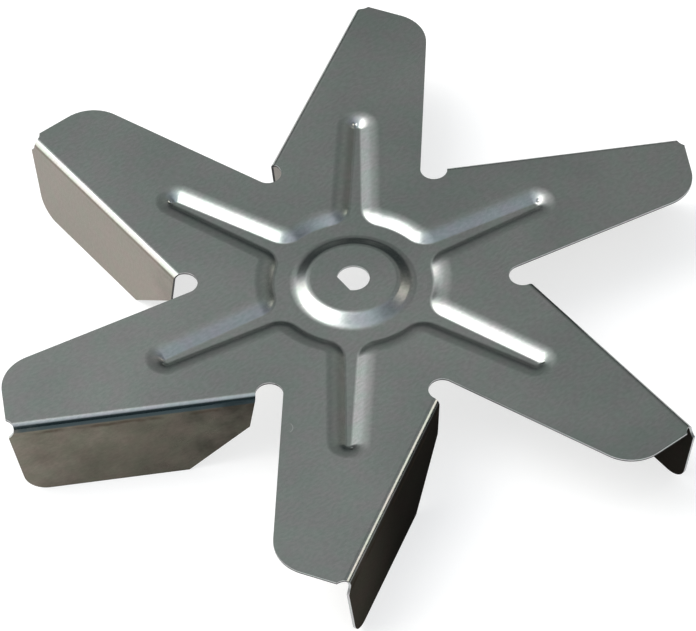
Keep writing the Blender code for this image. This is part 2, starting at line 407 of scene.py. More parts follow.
def arm_mesh():
    bm = bmesh.new()
    rows = [add_loop(bm, groove_outline(inset), PLATE_LEVEL - drop) for inset, drop in groove_wall]
    for upper, lower in zip(rows, rows[1:]):
        join_rows(bm, upper, lower)
    hub_radius = DISC_RADIUS + DISC_WALL_RUN
    hub_side = arc(Vector((0, 0)), hub_radius, -HALF_PITCH, HALF_PITCH, HUB_STEPS_PER_ARM)
    floor_edge = add_loop(bm, hub_side, PLATE_LEVEL - RING_DEPTH)
    bm.faces.new([*rows[-1], *reversed(floor_edge)])
    before_fold = [*free_side(), *[fold_frame(point) for point in tip_notch()]]
    edge = add_loop(bm, [*before_fold, *relief_edge()], PLATE_LEVEL)
    bm.faces.new([*edge, *reversed(rows[0])])
    fold_outer = len(before_fold) - 1
    add_blade(bm, (edge[fold_outer], edge[fold_outer + 1]))
    return finish_mesh(bm, "one_arm")


one_arm = placed("one_arm", arm_mesh())
print("one arm:", len(one_arm.data.polygons), "faces")

# %% [markdown]
# ## The hub
#
# The centre disc stands a little above the plate and has the shaft hole: round, with one flat, so that
# the shaft can't slip round in it. The flat keeps the hub from repeating like the arms, so the hub is
# a mesh of its own. Its wall is turned round the axis, and the rest of the disc is filled between the
# wall's top and the hole.

# %% The hub's mesh
def hub_circle(radius):
    steps = ARMS * HUB_STEPS_PER_ARM
    first = FIRST_RIB_ANGLE - HALF_PITCH
    return [polar(radius, first + math.tau * i / steps) for i in range(steps)]


def shaft_hole():
    """A circle with one flat, which faces -X."""
    half_flat = math.acos(SHAFT_FLAT_DISTANCE / SHAFT_HOLE_RADIUS)
    steps = 4 * HUB_STEPS_PER_ARM
    return arc(Vector((0, 0)), SHAFT_HOLE_RADIUS, half_flat - math.pi, math.pi - half_flat, steps)


def hub_mesh():
    bm = bmesh.new()
    disc_level = PLATE_LEVEL + DISC_RISE
    rows = []
    for outward, drop in disc_wall:
        rows.append(add_loop(bm, hub_circle(DISC_RADIUS + outward), disc_level - drop))
    for upper, lower in zip(rows, rows[1:]):
        join_rows(bm, [*upper, upper[0]], [*lower, lower[0]])
    hole_loop = add_loop(bm, shaft_hole(), disc_level)
    rims = []
    for loop in (rows[0], hole_loop):
        for first, second in zip(loop, [*loop[1:], loop[0]]):
            rims.append(bm.edges.get((first, second)) or bm.edges.new((first, second)))
    bmesh.ops.triangle_fill(bm, use_beauty=True, edges=rims)
    return finish_mesh(bm, "hub")


hub = placed("hub", hub_mesh())
print("hub:", len(hub.data.polygons), "faces")

# %% [markdown]
# ## Six arms from one
#
# What repeats by a rule suits Geometry Nodes: the tree places one copy of the arm for each point,
# turns each copy by its share of the circle, makes the copies real, adds the hub and welds the seams.
# Its inputs are the sizes that someone might change: how many arms, where the first one points, and
# how near two points must be to weld.

# %% The tree that repeats the arm
def link(tree, source, target):
    tree.links.new(source, target)


def arms_tree():
    tree = bpy.data.node_groups.new("arms round a hub", "GeometryNodeTree")
    for name, kind in (
        ("Arm", "Geometry"), ("Arm Count", "Int"), ("First Angle", "Float"),
        ("Weld Distance", "Float"), ("Hub", "Object"), ("Material", "Material"),
    ):
        tree.interface.new_socket(name, in_out="INPUT", socket_type="NodeSocket" + kind)
    tree.interface.new_socket("Sheet", in_out="OUTPUT", socket_type="NodeSocketGeometry")
    nodes = tree.nodes
    given = nodes.new("NodeGroupInput")
    points = nodes.new("GeometryNodePoints")
    link(tree, given.outputs["Arm Count"], points.inputs["Count"])

    share = nodes.new("ShaderNodeMath")
    share.operation = "DIVIDE"
    share.inputs[0].default_value = math.tau
    link(tree, given.outputs["Arm Count"], share.inputs[1])
    index = nodes.new("GeometryNodeInputIndex")
    turn = nodes.new("ShaderNodeMath")
    turn.operation = "MULTIPLY_ADD"
    link(tree, index.outputs["Index"], turn.inputs[0])
    link(tree, share.outputs[0], turn.inputs[1])
    link(tree, given.outputs["First Angle"], turn.inputs[2])
    rotation = nodes.new("ShaderNodeCombineXYZ")
    link(tree, turn.outputs[0], rotation.inputs["Z"])

    copies = nodes.new("GeometryNodeInstanceOnPoints")
    link(tree, points.outputs[0], copies.inputs["Points"])
    link(tree, given.outputs["Arm"], copies.inputs["Instance"])
    link(tree, rotation.outputs[0], copies.inputs["Rotation"])
    centre = nodes.new("GeometryNodeObjectInfo")
    link(tree, given.outputs["Hub"], centre.inputs["Object"])
    joined = nodes.new("GeometryNodeJoinGeometry")
    link(tree, copies.outputs["Instances"], joined.inputs[0])
    link(tree, centre.outputs["Geometry"], joined.inputs[0])
    real = nodes.new("GeometryNodeRealizeInstances")
    link(tree, joined.outputs[0], real.inputs[0])
    weld = nodes.new("GeometryNodeMergeByDistance")
    link(tree, real.outputs[0], weld.inputs["Geometry"])
    link(tree, given.outputs["Weld Distance"], weld.inputs["Distance"])
    painted = nodes.new("GeometryNodeSetMaterial")
    link(tree, weld.outputs[0], painted.inputs["Geometry"])
    link(tree, given.outputs["Material"], painted.inputs["Material"])
    result = nodes.new("NodeGroupOutput")
    link(tree, painted.outputs[0], result.inputs["Sheet"])
    return tree


def set_inputs(modifier, values):
    """A Geometry Nodes input is set by its socket's identifier, found here by its name."""
    for socket in modifier.node_group.interface.items_tree:
        if socket.name in values:
            modifier[socket.identifier] = values[socket.name]


# %% The two finishes' slots, and the welded middle surface
WELD = 0.002 * MM
rolled_steel = bpy.data.materials.new("rolled_steel")
sheared_edge = bpy.data.materials.new("sheared_edge")
repeat = one_arm.modifiers.new("six arms", "NODES")
repeat.node_group = arms_tree()
set_inputs(repeat, {
    "Arm Count": ARMS, "First Angle": FIRST_RIB_ANGLE, "Weld Distance": WELD,
    "Hub": hub, "Material": rolled_steel,
})


def made_plain(source, name):
    """What an object's modifiers make, as a plain mesh on a new object at the origin."""
    graph = bpy.context.evaluated_depsgraph_get()
    mesh = bpy.data.meshes.new_from_object(source.evaluated_get(graph))
    mesh.name = name
    bpy.data.objects.remove(source)
    return placed(name, mesh)


sheet = made_plain(one_arm, "impeller_sheet")
bpy.data.objects.remove(hub)
print("middle surface:", len(sheet.data.vertices), "points,", len(sheet.data.polygons), "faces")

# %% [markdown]
# ## Thickness
#
# Solidify gives the surface its metal, half to each side, and gives the cut rim a finish of its own: a
# press leaves sheared edges brighter and rougher than the rolled faces.

# %% From surface to sheet
RIM = 1
sheet.data.materials.append(sheared_edge)
metal = sheet.modifiers.new("metal", "SOLIDIFY")
metal.thickness = SHEET
metal.offset = 0
metal.use_even_offset = True
metal.use_quality_normals = True
metal.material_offset_rim = RIM
punched_faces = len(sheet.data.polygons)
sharp_sheet = made_plain(sheet, "sharp_sheet")
print("faces before and after:", punched_faces, "and", len(sharp_sheet.data.polygons))

# %% [markdown]
# ## Broken edges
#
# A punch pulls the sheet's face down with it before it cuts, so every edge on the punch's side is
# rounded over by about half the sheet's thickness, while the far side keeps a nearly sharp corner.
# Solidify lists the punched side's faces first, which tells the two sides apart. Each edge's weight is
# its share of Bevel's width. Weighted Normal then lets the largest face at each point decide the
# shading, so that flat steel mirrors as flat.

# %% Rounding over on the punched side
ROUNDING = 0.24 * MM
SHARP_SHARE = 0.25
CREASE = math.radians(32)

rounded = bmesh.new()
rounded.from_mesh(sharp_sheet.data)
weight = rounded.edges.layers.float.new("bevel_weight_edge")
for edge in rounded.edges:
    rim, *others = sorted(edge.link_faces, key=lambda face: -face.material_index)
    if rim.material_index == RIM and others[0].material_index != RIM:
        edge[weight] = 1.0 if others[0].index < punched_faces else SHARP_SHARE
rounded.to_mesh(sharp_sheet.data)
rounded.free()
broken = sharp_sheet.modifiers.new("broken edges", "BEVEL")
broken.width = ROUNDING
broken.segments = ROUNDING_STEPS
broken.limit_method = "WEIGHT"
broken.use_clamp_overlap = False
broken.loop_slide = False
shaded = made_plain(sharp_sheet, "shaded_sheet")
shaded.data.shade_smooth()
shaded.data.set_sharp_from_angle(angle=CREASE)
flat_stays_flat = shaded.modifiers.new("flat stays flat", "WEIGHTED_NORMAL")
flat_stays_flat.keep_sharp = True
impeller = made_plain(shaded, "impeller")
print("impeller:", sum(len(face.vertices) - 2 for face in impeller.data.polygons), "triangles")

# %% The finished piece
checked = bmesh.new()
checked.from_mesh(impeller.data)
print("edges that don't join two faces:", sum(len(edge.link_faces) != 2 for edge in checked.edges))
print("volume:", round(checked.calc_volume() / MM**3), "mm3")
checked.free()
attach(impeller, "root")
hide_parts("fan_impeller")

# %% [markdown]
# ## Where each point lay in the flat sheet
#
# The rolls marked the steel before it was cut and folded, so its lines must run on through the folds.
# Each point is therefore unfolded to its place in the flat sheet, and the steel's textures follow that
# map. A second map gives each point in its own arm's frame, for the marks that the press left at every
# rib. An attribute keeps how far past its fold each point lies, which is nothing on the plate. All
# three are in metres.

# %% Two maps and an attribute
BLADE_BEGINS = 18.5 * MM
BLADE_LEANS_LESS_THAN = 3.0 * MM


def unfolded(point):
    """Where a point of the finished part lay in the flat sheet, and how far past its fold."""
    for arm in range(ARMS):
        angle = FIRST_RIB_ANGLE + arm * PITCH
        beside = turned(turned(point.xy, -angle), FOLD_LEAN)
        across = beside.y - FOLD_DISTANCE
        if beside.x > BLADE_BEGINS and 0 < across < BLADE_LEANS_LESS_THAN:
            depth = PLATE_LEVEL - point.z
            bent = min(math.atan2(across, BEND_RADIUS - depth), FOLD_ANGLE)
            end_across = across - BEND_RADIUS * math.sin(FOLD_ANGLE)
            end_depth = depth - BEND_RADIUS * (1 - math.cos(FOLD_ANGLE))
            beyond = max(end_across * math.cos(FOLD_ANGLE) + end_depth * math.sin(FOLD_ANGLE), 0)
            past_fold = BEND_RADIUS * bent + beyond
            return turned(fold_frame(Vector((beside.x, past_fold))), angle), past_fold
    return point.xy, 0.0


def in_own_arm(point, middle):
    """A point in the frame of the arm that its face belongs to."""
    arm = round((math.atan2(middle.y, middle.x) - FIRST_RIB_ANGLE) / PITCH)
    return turned(point.xy, -FIRST_RIB_ANGLE - arm * PITCH)


flat_map_name = "flat sheet"
flat_map = impeller.data.uv_layers.new(name=flat_map_name)
arm_map_name = "own arm"
arm_map = impeller.data.uv_layers.new(name=arm_map_name)
past_fold_name = "past fold"
past_folds = impeller.data.attributes.new(past_fold_name, "FLOAT", "POINT")
flat_places = []
for vertex in impeller.data.vertices:
    flat_place, past_fold = unfolded(vertex.co)
    flat_places.append(flat_place)
    past_folds.data[vertex.index].value = past_fold
for face in impeller.data.polygons:
    for corner in face.loop_indices:
        vertex = impeller.data.vertices[impeller.data.loops[corner].vertex_index]
        flat_map.data[corner].uv = flat_places[vertex.index]
        arm_map.data[corner].uv = in_own_arm(vertex.co, face.center)
widest = max(place.length for place in flat_places)
print("flat sheet:", round(2 * widest / MM, 1), "mm across before folding")

# %% [markdown]
# ## Steel
#
# The real sheet is rolled steel with a satin face: a mid grey that is a little green, with faint
# clouds where its oil dried, fine lines from the rolls, and small dark specks. Each of these is a
# value between 0 and 1 that changes over the surface, so they are made in a shader group that both
# finishes share. Only the numbers differ. Helpers come first. Most of them make one node: they take
# sockets or plain values, and give a socket back.

# %% Helpers for shader nodes
def feed(tree, value, socket):
    """Puts another node's output, or a plain number or colour, in a socket."""
    if isinstance(value, bpy.types.NodeSocket):
        link(tree, value, socket)
    else:
        socket.default_value = value


def noise(tree, vector, scale, detail=2.0, roughness=0.5):
    node = tree.nodes.new("ShaderNodeTexNoise")
    link(tree, vector, node.inputs["Vector"])
    feed(tree, scale, node.inputs["Scale"])
    node.inputs["Detail"].default_value = detail
    node.inputs["Roughness"].default_value = roughness
    return node.outputs["Fac"]


def stretched(tree, vector, scale):
    node = tree.nodes.new("ShaderNodeMapping")
    link(tree, vector, node.inputs["Vector"])
    node.inputs["Scale"].default_value = scale
    return node.outputs["Vector"]


def remapped(tree, value, low, high, to_low=0.0, to_high=1.0, smooth=True):
    node = tree.nodes.new("ShaderNodeMapRange")
    node.interpolation_type = "SMOOTHSTEP" if smooth else "LINEAR"
    for number, socket in zip((value, low, high, to_low, to_high), node.inputs):
        feed(tree, number, socket)
    return node.outputs["Result"]


def new_group(name, vectors, numbers, results):
    """A shader group with vector inputs, number inputs with their defaults, and number outputs."""
    group = bpy.data.node_groups.new(name, "ShaderNodeTree")
    for label in vectors:
        group.interface.new_socket(label, in_out="INPUT", socket_type="NodeSocketVector")
    for label, value in numbers.items():
        socket = group.interface.new_socket(label, in_out="INPUT", socket_type="NodeSocketFloat")
        socket.default_value = value
    for label in results:
        group.interface.new_socket(label, in_out="OUTPUT", socket_type="NodeSocketFloat")
    print("group:", name, "-", ", ".join(results))
    return group, group.nodes.new("NodeGroupInput"), group.nodes.new("NodeGroupOutput")


# %% [markdown]
# Steel that leaves the rolls is uneven at several scales: clouds a thumb's breadth wide, mottling of a
# few millimetres, a fine grain, and lines a fraction of a millimetre apart. The grain and the lines
# are noise that is squeezed across the rolling direction and drawn out along it. Noise stays near its
# middle value, so the middle part of its range is spread over all of 0 to 1.

# %% Clouds, mottling, grain, lines and specks
CLOUD_SCALE = 22.0
MOTTLE_SCALE = 240.0
LINE_STRETCH = (60, 2400, 2400)
GRAIN_STRETCH = (900, 1900, 1900)
SPECK_SCALE = 2600.0
MIDDLE_OF_NOISE = (0.3, 0.7)
TOP_OF_NOISE = (0.72, 0.80)
SPECK_STRENGTH = 0.6


def surface_group():
    group, given, result = new_group(
        "rolled surface", ["Vector"],
        {"Cloud Scale": CLOUD_SCALE, "Mottle Scale": MOTTLE_SCALE},
        ["Clouds", "Mottling", "Grain", "Lines", "Specks"],
    )
    place = given.outputs["Vector"]
    clouds = noise(group, place, given.outputs["Cloud Scale"], detail=3.0)
    mottling = noise(group, place, given.outputs["Mottle Scale"], detail=3.0)
    grain = noise(group, stretched(group, place, GRAIN_STRETCH), scale=1.0)
    for label, value in (("Clouds", clouds), ("Mottling", mottling), ("Grain", grain)):
        link(group, remapped(group, value, *MIDDLE_OF_NOISE), result.inputs[label])
    lines = noise(group, stretched(group, place, LINE_STRETCH), scale=1.0, detail=3.0)
    link(group, lines, result.inputs["Lines"])
    specks = noise(group, place, SPECK_SCALE, detail=1.0)
    link(group, remapped(group, specks, *TOP_OF_NOISE, 0.0, SPECK_STRENGTH), result.inputs["Specks"])
    return group


rolled_surface = surface_group()

# %% Steel without stains
MOTTLING_TINTS = ((0.93, 1.0, 0.965, 1), (1.0, 0.955, 0.98, 1))
GRAIN_TINTS = ((0.94, 0.955, 0.945, 1), (1.055, 1.045, 1.055, 1))
SPECK_COLOUR = (0.22, 0.22, 0.21, 1)
LINE_HEIGHT = 0.02 * MM


def mixed(tree, factor, first, second, blend="MIX"):
    node = tree.nodes.new("ShaderNodeMix")
    node.data_type = "RGBA"
    node.blend_type = blend
    for value, place in ((factor, 0), (first, 6), (second, 7)):
        feed(tree, value, node.inputs[place])
    return node.outputs[2]


def place_group(tree, group):
    node = tree.nodes.new("ShaderNodeGroup")
    node.node_tree = group
    return node


def steel_material(material, place, light, dark, roughness, line_strength):
    """Returns the material's tree, and the colour to go on with."""
    material.use_nodes = True
    tree = material.node_tree
    shader = tree.nodes["Principled BSDF"]
    shader.inputs["Metallic"].default_value = 1.0
    surface = place_group(tree, rolled_surface)
    link(tree, place(tree), surface.inputs["Vector"])
    clouded = mixed(tree, surface.outputs["Clouds"], dark, light)
    mottling = mixed(tree, surface.outputs["Mottling"], *MOTTLING_TINTS)
    mottled = mixed(tree, 1.0, clouded, mottling, "MULTIPLY")
    specked = mixed(tree, surface.outputs["Specks"], mottled, SPECK_COLOUR)
    grain = mixed(tree, surface.outputs["Grain"], *GRAIN_TINTS)
    grained = mixed(tree, 1.0, specked, grain, "MULTIPLY")
    link(tree, grained, shader.inputs["Base Color"])
    rough = remapped(tree, surface.outputs["Clouds"], 0.0, 1.0, *roughness)
    link(tree, rough, shader.inputs["Roughness"])
    lines = tree.nodes.new("ShaderNodeBump")
    lines.inputs["Strength"].default_value = line_strength
    lines.inputs["Distance"].default_value = LINE_HEIGHT
    link(tree, surface.outputs["Lines"], lines.inputs["Height"])
    link(tree, lines.outputs["Normal"], shader.inputs["Normal"])
    return tree, grained


# %% The rolled faces and the sheared edges
def on_map(tree, name):
    node = tree.nodes.new("ShaderNodeUVMap")
    node.uv_map = name
    return node.outputs["UV"]


def in_flat_sheet(tree):
    return on_map(tree, flat_map_name)


def in_the_object(tree):
    return tree.nodes.new("ShaderNodeTexCoord").outputs["Object"]


rolled = steel_material(
    rolled_steel, in_flat_sheet,
    light=(0.37, 0.375, 0.365, 1), dark=(0.325, 0.34, 0.33, 1),
    roughness=(0.21, 0.26), line_strength=0.2,
)
sheared = steel_material(
    sheared_edge, in_the_object,
    light=(0.52, 0.52, 0.53, 1), dark=(0.40, 0.40, 0.40, 1),
    roughness=(0.30, 0.42), line_strength=0.6,
)
print("materials:", rolled_steel.name, "and", sheared_edge.name)

# %% [markdown]
# A punch shears the upper part of a sheet cleanly and tears the rest, so a cut edge is bright above
# and dark and rough below. The blades' inner ends are made dark all over. Both follow from a point's
# height and its distance from the axis.

# %% The torn part of the cut edge
TORN_FROM, TORN_FULL = PLATE_LEVEL + 0.06 * MM, PLATE_LEVEL - 0.06 * MM
BELOW_THE_PLATE, IN_THE_PLATE = PLATE_LEVEL - 0.36 * MM, PLATE_LEVEL - 0.28 * MM
INNER_ENDS_WITHIN, OUTER_ENDS_FROM = 45 * MM, 48 * MM
TORN_COLOUR = (0.035, 0.035, 0.035, 1)


def maths(tree, operation, first, second=0.0):
    node = tree.nodes.new("ShaderNodeMath")
    node.operation = operation
    feed(tree, first, node.inputs[0])
    feed(tree, second, node.inputs[1])
    return node.outputs[0]


def vector_maths(tree, operation, first, second=(0, 0, 0)):
    """Gives a number for a length or a dot product, and otherwise a vector."""
    node = tree.nodes.new("ShaderNodeVectorMath")
    node.operation = operation
    feed(tree, first, node.inputs[0])
    feed(tree, second, node.inputs[1])
    return node.outputs["Value" if operation in ("LENGTH", "DOT_PRODUCT") else "Vector"]


def part_of(tree, vector, axis):
    node = tree.nodes.new("ShaderNodeSeparateXYZ")
    link(tree, vector, node.inputs[0])
    return node.outputs[axis]


edge_tree, bright_edge = sheared
edge_place = in_the_object(edge_tree)
off_axis = vector_maths(edge_tree, "MULTIPLY", edge_place, (1, 1, 0))
radius = vector_maths(edge_tree, "LENGTH", off_axis)
height = part_of(edge_tree, edge_place, "Z")
torn = remapped(edge_tree, height, TORN_FULL, TORN_FROM, 1.0, 0.0)
on_plate = remapped(edge_tree, height, BELOW_THE_PLATE, IN_THE_PLATE)
at_inner_end = remapped(edge_tree, radius, INNER_ENDS_WITHIN, OUTER_ENDS_FROM, 1.0, 0.0)
dark = maths(edge_tree, "MULTIPLY", torn, maths(edge_tree, "MAXIMUM", on_plate, at_inner_end))
torn_edge = mixed(edge_tree, dark, bright_edge, TORN_COLOUR)
link(edge_tree, torn_edge, edge_tree.nodes["Principled BSDF"].inputs["Base Color"])
print("edge torn below", round(TORN_FROM / MM, 2), "mm")

# %% [markdown]
# ## Stains and painted shade on the blades
#
# Below the folds the air has left its mark: a warm brown film covers the blades, and a thin ragged line
# of dirt follows under each bend. Painted shade darkens the film from one side of the impeller to the
# other, nearly to black, and a dark bluish painted reflection lies along the lower half of each bend.
# Film, reflection and line are ranges of the distance past the fold. The painted shade, and the part
# of it that is painted lighter near the tips, are ranges of the distance towards one side. Noise moves
# the borders of the shade and the line.

# %% Where stain, painted shade, painted reflection, dirt line and lighter shade lie
# past these the stain and the painted shade begin on the blades
STAIN_AND_SHADE_FROM, STAIN_AND_SHADE_FULL = 1.0 * MM, 1.4 * MM
# a painted dark reflection along the lower half of each bend
DARK_REFLECTION_FROM, DARK_REFLECTION_FULL = 0.65 * MM, 0.95 * MM
DARK_REFLECTION_ENDS, DARK_REFLECTION_GONE = 1.9 * MM, 2.3 * MM
DIRT_LINE_AT = 2.8 * MM
DIRT_LINE_WANDERS = 1.1 * MM
DIRT_LINE_CORE, DIRT_LINE_EDGE = 0.05 * MM, 0.70 * MM
GAP_SCALE = 160.0
GAPS_IN_NOISE = (0.38, 0.58)
# painted shade: the blades are painted darker towards this side, nearly to black
PAINTED_SHADE_SIDE = polar(1, math.radians(-82))
LEAST_SHADE_AT, MOST_SHADE_AT = -32 * MM, 26 * MM
SHADE_WANDERS = 34 * MM
# the painted shade is painted lighter towards this side, near the tips
LIGHTER_SHADE_SIDE = polar(1, math.radians(236))
LIGHTER_SHADE_FROM, LIGHTER_SHADE_FULL = 50 * MM, 72 * MM
# scale, detail and roughness of the noise that moves a border
RAGGED = (420.0, 3.0, 0.65)
BLOTCHY = (130.0, 4.0, 0.6)


def wandering(tree, place, reach, scale, detail, roughness):
    """Noise round zero, to move a border about."""
    centred = maths(tree, "SUBTRACT", noise(tree, place, scale, detail, roughness), 0.5)
    return maths(tree, "MULTIPLY", centred, reach)


def stain_and_shade_group():
    group, given, result = new_group(
        "stain, painted shade and dirt line", ["Position", "Flat Place"], {"Past Fold": 0.0},
        ["Film", "Dark Reflection", "Line", "Painted Shade", "Lighter Shade"],
    )
    past_fold = given.outputs["Past Fold"]
    flat_place = given.outputs["Flat Place"]
    link(group, remapped(group, past_fold, STAIN_AND_SHADE_FROM, STAIN_AND_SHADE_FULL), result.inputs["Film"])
    # painted dark reflection along the bend
    begins = remapped(group, past_fold, DARK_REFLECTION_FROM, DARK_REFLECTION_FULL)
    ends = remapped(group, past_fold, DARK_REFLECTION_ENDS, DARK_REFLECTION_GONE, 1.0, 0.0)
    link(group, maths(group, "MULTIPLY", begins, ends), result.inputs["Dark Reflection"])

    ragged = wandering(group, flat_place, DIRT_LINE_WANDERS, *RAGGED)
    from_line = maths(group, "ADD", maths(group, "SUBTRACT", past_fold, DIRT_LINE_AT), ragged)
    off_line = maths(group, "ABSOLUTE", from_line)
    near = remapped(group, off_line, DIRT_LINE_CORE, DIRT_LINE_EDGE, 1.0, 0.0)
    broken_up = remapped(group, noise(group, flat_place, GAP_SCALE), *GAPS_IN_NOISE)
    link(group, maths(group, "MULTIPLY", near, broken_up), result.inputs["Line"])

    # painted shade that grows towards one side, with a wandering border
    position = given.outputs["Position"]
    uneven = wandering(group, flat_place, SHADE_WANDERS, *BLOTCHY)
    shadewards = vector_maths(group, "DOT_PRODUCT", position, (*PAINTED_SHADE_SIDE, 0))
    shade_place = maths(group, "ADD", shadewards, uneven)
    painted_shade = remapped(group, shade_place, LEAST_SHADE_AT, MOST_SHADE_AT, smooth=False)
    link(group, painted_shade, result.inputs["Painted Shade"])
    towards_lighter_shade = vector_maths(group, "DOT_PRODUCT", position, (*LIGHTER_SHADE_SIDE, 0))
    link(group, remapped(group, towards_lighter_shade, LIGHTER_SHADE_FROM, LIGHTER_SHADE_FULL), result.inputs["Lighter Shade"])
    return group


# %% [markdown]
# The film takes away part of the steel's own colour, so its colour multiplies the steel's: a thin film
# is beige, a thicker one brown and partly painted shade, and the painted shade nearly black. The shade
# is painted lighter near the tips of the front blade. The painted dark reflection and the dirt line lie
# on top, and both grow with the painted shade until it hides the reflection.

# %% The stained colour with painted shade
# the ramp runs from a beige stain, through brown stain with painted shade, to painted shade nearly black
THIN_FILM, THICK_FILM_AND_SHADE = (0.62, 0.53, 0.455, 1), (0.33, 0.288, 0.235, 1)
PAINTED_SHADE_COLOUR = (0.075, 0.063, 0.055, 1)
THICK_FILM_AND_SHADE_AT = 0.4
LIGHTER_SHADE_COLOUR = (0.22, 0.185, 0.155, 1)
# the next colour is the painted dark reflection on the bends
DARK_REFLECTION_COLOUR = (0.038, 0.058, 0.066, 1)
DIRT_COLOUR = (0.045, 0.032, 0.022, 1)
MOST_DARK_REFLECTION = 0.92
LEAST_DIRT, MOST_DIRT = 0.05, 0.7
# how much painted shade, from 0 to 1, begins and completes each change
LIGHTER_SHADE_SHOWS = (0.6, 1.0)
DARK_REFLECTION_GROWS = (0.05, 0.3)
DARK_REFLECTION_HIDES = (0.75, 1.0)
DIRT_GROWS = (0.0, 0.3)


def past_fold_of(tree):
    node = tree.nodes.new("ShaderNodeAttribute")
    node.attribute_name = past_fold_name
    return node.outputs["Fac"]


tree, clean_steel = rolled
stain_and_shade_masks = place_group(tree, stain_and_shade_group())
link(tree, in_the_object(tree), stain_and_shade_masks.inputs["Position"])
link(tree, in_flat_sheet(tree), stain_and_shade_masks.inputs["Flat Place"])
link(tree, past_fold_of(tree), stain_and_shade_masks.inputs["Past Fold"])
# how much painted shade lies on the blade: 0 on the lit side, 1 on the dark side
shade_mask = stain_and_shade_masks.outputs["Painted Shade"]
stain_and_shade_ramp = tree.nodes.new("ShaderNodeValToRGB")
stain_and_shade_ramp.color_ramp.elements[0].color = THIN_FILM
stain_and_shade_ramp.color_ramp.elements[1].color = PAINTED_SHADE_COLOUR
stain_and_shade_ramp.color_ramp.elements.new(THICK_FILM_AND_SHADE_AT).color = THICK_FILM_AND_SHADE
link(tree, shade_mask, stain_and_shade_ramp.inputs["Fac"])
# lightens the painted shade near the tips of the front blade
lighter_shade = maths(tree, "MULTIPLY", stain_and_shade_masks.outputs["Lighter Shade"], remapped(tree, shade_mask, *LIGHTER_SHADE_SHOWS))
shade_lightened = mixed(tree, lighter_shade, stain_and_shade_ramp.outputs["Color"], LIGHTER_SHADE_COLOUR)
film_and_shade_colour = mixed(tree, 1.0, clean_steel, shade_lightened, "MULTIPLY")
with_stain_and_shade = mixed(tree, stain_and_shade_masks.outputs["Film"], clean_steel, film_and_shade_colour)

# the painted dark reflection grows with the painted shade and is hidden where that is darkest
grown = remapped(tree, shade_mask, *DARK_REFLECTION_GROWS, 0.0, MOST_DARK_REFLECTION)
still_seen = remapped(tree, shade_mask, *DARK_REFLECTION_HIDES, 1.0, 0.0)
dark_reflection = maths(tree, "MULTIPLY", stain_and_shade_masks.outputs["Dark Reflection"], grown)
with_dark_reflection = mixed(tree, maths(tree, "MULTIPLY", dark_reflection, still_seen), with_stain_and_shade, DARK_REFLECTION_COLOUR)
dirt_share = remapped(tree, shade_mask, *DIRT_GROWS, LEAST_DIRT, MOST_DIRT)
dirt = maths(tree, "MULTIPLY", stain_and_shade_masks.outputs["Line"], dirt_share)
dirtied = mixed(tree, dirt, with_dark_reflection, DIRT_COLOUR)
print("dirt line", round(DIRT_LINE_AT / MM, 1), "mm past the fold")

# %% [markdown]
# The press and handling left small marks: a dent at the end of every rib, and one crescent scratch. A
# mark is drawn by its distance from a point on one of the two maps. The dent is on the arm's map, so
# it repeats on all six arms. The scratch is on the flat sheet's map, so it comes once.

# %% Distance from a mark
def distance_group():
    group, given, result = new_group("distance from a mark", ["Vector", "Mark"], {}, ["Distance", "Side"])
    apart = vector_maths(group, "SUBTRACT", given.outputs["Vector"], given.outputs["Mark"])
    link(group, vector_maths(group, "LENGTH", apart), result.inputs["Distance"])
    link(group, part_of(group, apart, "Y"), result.inputs["Side"])
    return group


distance = distance_group()


def from_mark(tree, place, mark):
    node = place_group(tree, distance)
    link(tree, place, node.inputs["Vector"])
    node.inputs["Mark"].default_value = (*mark, 0)
    return node.outputs


# %% A dent at each rib's end
DENT_AT = Vector((41.9 * MM, 0.6 * MM))
DENT_RADIUS = 0.55 * MM
DENT_DEPTH = 0.12 * MM

shader = tree.nodes["Principled BSDF"]
in_arm = on_map(tree, arm_map_name)
dent = remapped(tree, from_mark(tree, in_arm, DENT_AT)["Distance"], 0.0, DENT_RADIUS)
dented = tree.nodes.new("ShaderNodeBump")
dented.inputs["Distance"].default_value = DENT_DEPTH
link(tree, dent, dented.inputs["Height"])
rolling_lines = shader.inputs["Normal"].links[0].from_node
link(tree, dented.outputs["Normal"], rolling_lines.inputs["Normal"])
print("dents at", [round(value / MM, 1) for value in DENT_AT], "mm in each arm's frame")

# %% The crescent scratch
SCRATCHED_ARM = 4
SCRATCH_MIDDLE = Vector((37.6 * MM, -11.9 * MM))
SCRATCH_RADIUS = 1.3 * MM
SCRATCH_CORE, SCRATCH_EDGE = 0.03 * MM, 0.12 * MM
CRESCENT_ENDS, CRESCENT_FULL = 0.6 * MM, 1.0 * MM
SCRATCH_COLOUR = (0.50, 0.51, 0.50, 1)

scratch_place = turned(SCRATCH_MIDDLE, FIRST_RIB_ANGLE + SCRATCHED_ARM * PITCH)
scratch = from_mark(tree, in_flat_sheet(tree), scratch_place)
off_arc = maths(tree, "ABSOLUTE", maths(tree, "SUBTRACT", scratch["Distance"], SCRATCH_RADIUS))
on_arc = remapped(tree, off_arc, SCRATCH_CORE, SCRATCH_EDGE, 1.0, 0.0)
beside = from_mark(tree, in_arm, SCRATCH_MIDDLE)["Side"]
scratched = maths(tree, "MULTIPLY", on_arc, remapped(tree, beside, CRESCENT_ENDS, CRESCENT_FULL))
finished = mixed(tree, scratched, dirtied, SCRATCH_COLOUR)
link(tree, finished, shader.inputs["Base Color"])
print("scratch on arm", SCRATCHED_ARM, "of 0 to", ARMS - 1)

# %% [markdown]
# Where the painted shade is darkest, the surface stops being metallic and gets rough, so that the shade
# stays dark. It mirrors nothing there, which is why its specular level is nought.

# %% Matt where the shade is painted
SHADE_GOES_MATT = (0.45, 0.95)
METALLIC_UNDER_SHADE = 0.05
ADDED_ROUGHNESS = 0.45

